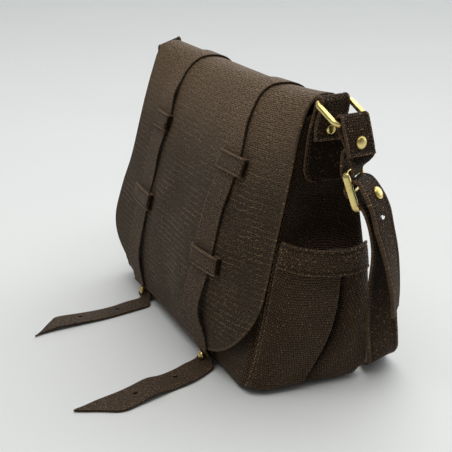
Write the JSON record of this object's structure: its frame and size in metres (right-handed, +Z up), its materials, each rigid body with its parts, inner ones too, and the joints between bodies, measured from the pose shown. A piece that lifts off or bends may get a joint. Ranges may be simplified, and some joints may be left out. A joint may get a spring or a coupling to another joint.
{
  "type": "crossbody bag",
  "caption": "Messenger-style crossbody bag: full flap with buttoned flap straps, pleated side pockets, brass rings, slider and a long shoulder strap.",
  "frame": {"origin": "middle of the base, on the surface that the bag stands on", "axes": "+X to the viewer's right from the front, -Y the front, +Z up"},
  "size_m": [0.5263, 0.2803, 0.2408],
  "materials": {
    "textured_leather": "dark brown, embossed with a fine grid and flecked with bronze",
    "satin_brass": "pale satin brass"
  },
  "bodies": {
    "root": {"front_panel": "textured_leather", "back_panel": "textured_leather", "gusset": "textured_leather", "flap": "textured_leather", "connecting_tab": "textured_leather", "shoulder_strap": "textured_leather", "side_pocket_left": "textured_leather", "pocket_binding_left": "textured_leather", "flap_strap_left": "textured_leather", "upper_keeper_left": "textured_leather", "lower_keeper_left": "textured_leather", "stud_tab_left": "textured_leather", "ring_tab_left": "textured_leather", "side_pocket_right": "textured_leather", "pocket_binding_right": "textured_leather", "flap_strap_right": "textured_leather", "upper_keeper_right": "textured_leather", "lower_keeper_right": "textured_leather", "stud_tab_right": "textured_leather", "ring_tab_right": "textured_leather", "connecting_tab_rivet": "satin_brass", "slider": "satin_brass", "stud_left": "satin_brass", "ring_tab_rivet_left": "satin_brass", "ring_left": "satin_brass", "strap_rivet_left": "satin_brass", "stud_right": "satin_brass", "ring_tab_rivet_right": "satin_brass", "ring_right": "satin_brass", "strap_rivet_right": "satin_brass"}
  },
  "joints": []
}
